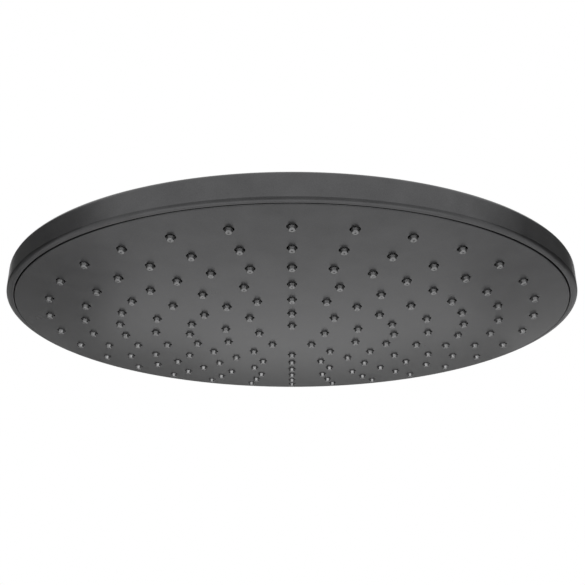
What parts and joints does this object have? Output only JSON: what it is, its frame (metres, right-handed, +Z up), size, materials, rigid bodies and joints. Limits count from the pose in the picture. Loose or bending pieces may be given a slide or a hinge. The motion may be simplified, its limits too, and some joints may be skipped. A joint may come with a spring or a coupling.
{
  "type": "rain shower head",
  "caption": "Round rain shower head: a slim rimmed disc with a domed face of soft spray nozzles, hung on a ball joint under a threaded inlet so that it leans and turns.",
  "frame": {"origin": "centre of the inlet's mouth, on the top face of the hexagon nut", "axes": "+Z up, along the inlet and out of its mouth; the head hangs below; -Y is the near side in the picture"},
  "size_m": [0.25, 0.25, 0.0696],
  "materials": {
    "satin_shell": "satin graphite coat on moulded plastic",
    "coated_brass": "satin graphite coat on brass",
    "nozzle_silicone": "smooth grey silicone",
    "chamber_plastic": "moulded black plastic",
    "slip_plastic": "slippery white plastic",
    "seal_rubber": "black rubber",
    "bare_steel": "stainless"
  },
  "bodies": {
    "connector": {"ball_connector": "coated_brass", "inlet_washer": "seal_rubber", "inlet_screen": "bare_steel", "flow_limiter": "chamber_plastic", "limiter_ring": "seal_rubber"},
    "washer": {"friction_washer": "slip_plastic"},
    "seal": {"ball_seal": "seal_rubber"},
    "head": {"collar_nut": "coated_brass", "collar_washer": "seal_rubber", "top_cover": "satin_shell", "chamber_plate": "chamber_plastic", "chamber_gasket": "seal_rubber", "chamber_screws": "bare_steel", "flow_spreader": "chamber_plastic", "nozzle_mat": "nozzle_silicone", "spray_plate": "satin_shell"}
  },
  "joints": [
    {"name": "tilt_fore_aft", "type": "hinge", "parent": "connector", "child": "washer", "pos_m": [0, 0, -0.03288], "axis": [1, 0, 0], "range_deg": [-15, 15]},
    {"name": "tilt_side", "type": "hinge", "parent": "washer", "child": "seal", "pos_m": [0, 0, -0.03288], "axis": [0, 1, 0], "range_deg": [-15, 15]},
    {"name": "head_turn", "type": "hinge", "parent": "seal", "child": "head", "pos_m": [0, 0, -0.03288], "axis": [0, 0, 1], "continuous": true}
  ]
}
